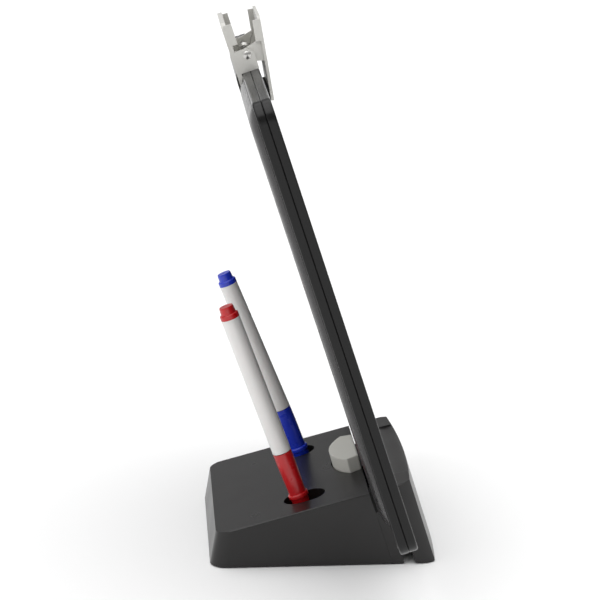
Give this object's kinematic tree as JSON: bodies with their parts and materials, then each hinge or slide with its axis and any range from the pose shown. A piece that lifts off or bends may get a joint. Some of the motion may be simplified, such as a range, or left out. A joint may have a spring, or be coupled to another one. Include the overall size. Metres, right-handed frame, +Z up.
{
  "type": "magnetic desk whiteboard easel",
  "caption": "Leaning magnetic whiteboard in a slotted wedge base, with a sprung top clip, capped markers in wells and a pocketed eraser.",
  "frame": {"origin": "on the desk, under the middle of the base's footprint", "axes": "+X across the board's width, -Y the writing side that faces the user, +Z up"},
  "size_m": [0.33, 0.1447, 0.3394],
  "materials": {
    "base_plastic": "fine satin moulded black plastic",
    "frame_plastic": "semi-gloss moulded black plastic",
    "cover_plastic": "satin moulded dark grey plastic",
    "light_plastic": "satin light grey plastic",
    "clip_metal": "light grey satin painted steel",
    "steel": "zinc plated steel",
    "writing_steel": "glossy white writing enamel on steel",
    "board_core": "fibre board core",
    "felt": "pressed wool felt",
    "rubber": "soft black rubber",
    "red_plastic": "glossy red plastic",
    "blue_plastic": "glossy blue plastic",
    "white_plastic": "glossy white plastic",
    "red_ink_felt": "ink soaked fibre",
    "blue_ink_felt": "ink soaked fibre"
  },
  "bodies": {
    "base": {"base_shell": "base_plastic", "base_plate": "base_plastic", "base_feet": "rubber", "base_screws": "steel"},
    "eraser": {"eraser_body": "light_plastic", "eraser_felt": "felt"},
    "board": {"rear_frame": "frame_plastic", "front_frame": "frame_plastic", "rear_cover": "cover_plastic", "writing_panel": "writing_steel", "panel_core": "board_core", "clip_back": "clip_metal", "clip_pin": "steel", "clip_spring": "steel"},
    "clip_lever": {"clip_lever": "clip_metal", "jaw_pad": "rubber"},
    "red_cap": {"red_cap": "red_plastic"},
    "red_marker": {"red_barrel": "white_plastic", "red_plug": "red_plastic", "red_nib": "red_ink_felt", "red_core": "red_ink_felt"},
    "blue_cap": {"blue_cap": "blue_plastic"},
    "blue_marker": {"blue_barrel": "white_plastic", "blue_plug": "blue_plastic", "blue_nib": "blue_ink_felt", "blue_core": "blue_ink_felt"}
  },
  "joints": [
    {"name": "board_lift", "type": "slide", "parent": "base", "child": "board", "axis": [0, 0.3074, 0.9516], "range_m": [0, 0.04]},
    {"name": "clip_open", "type": "hinge", "parent": "board", "child": "clip_lever", "pos_m": [0, 0.04595, 0.31561], "axis": [-1, 0, 0], "range_deg": [0, 22], "stiffness_Nm_per_rad": 0.25, "springref_deg": -20.05, "deforming": ["clip_spring"]},
    {"name": "eraser_lift", "type": "slide", "parent": "base", "child": "eraser", "axis": [0, 0.3074, 0.9516], "range_m": [0, 0.025]},
    {"name": "red_cap_lift", "type": "slide", "parent": "base", "child": "red_cap", "axis": [0, 0.3428, 0.9394], "range_m": [0, 0.04]},
    {"name": "red_uncap", "type": "slide", "parent": "red_cap", "child": "red_marker", "axis": [0, 0.3428, 0.9394], "range_m": [0, 0.035]},
    {"name": "blue_cap_lift", "type": "slide", "parent": "base", "child": "blue_cap", "axis": [0, 0.377, 0.9262], "range_m": [0, 0.04]},
    {"name": "blue_uncap", "type": "slide", "parent": "blue_cap", "child": "blue_marker", "axis": [0, 0.377, 0.9262], "range_m": [0, 0.035]}
  ]
}
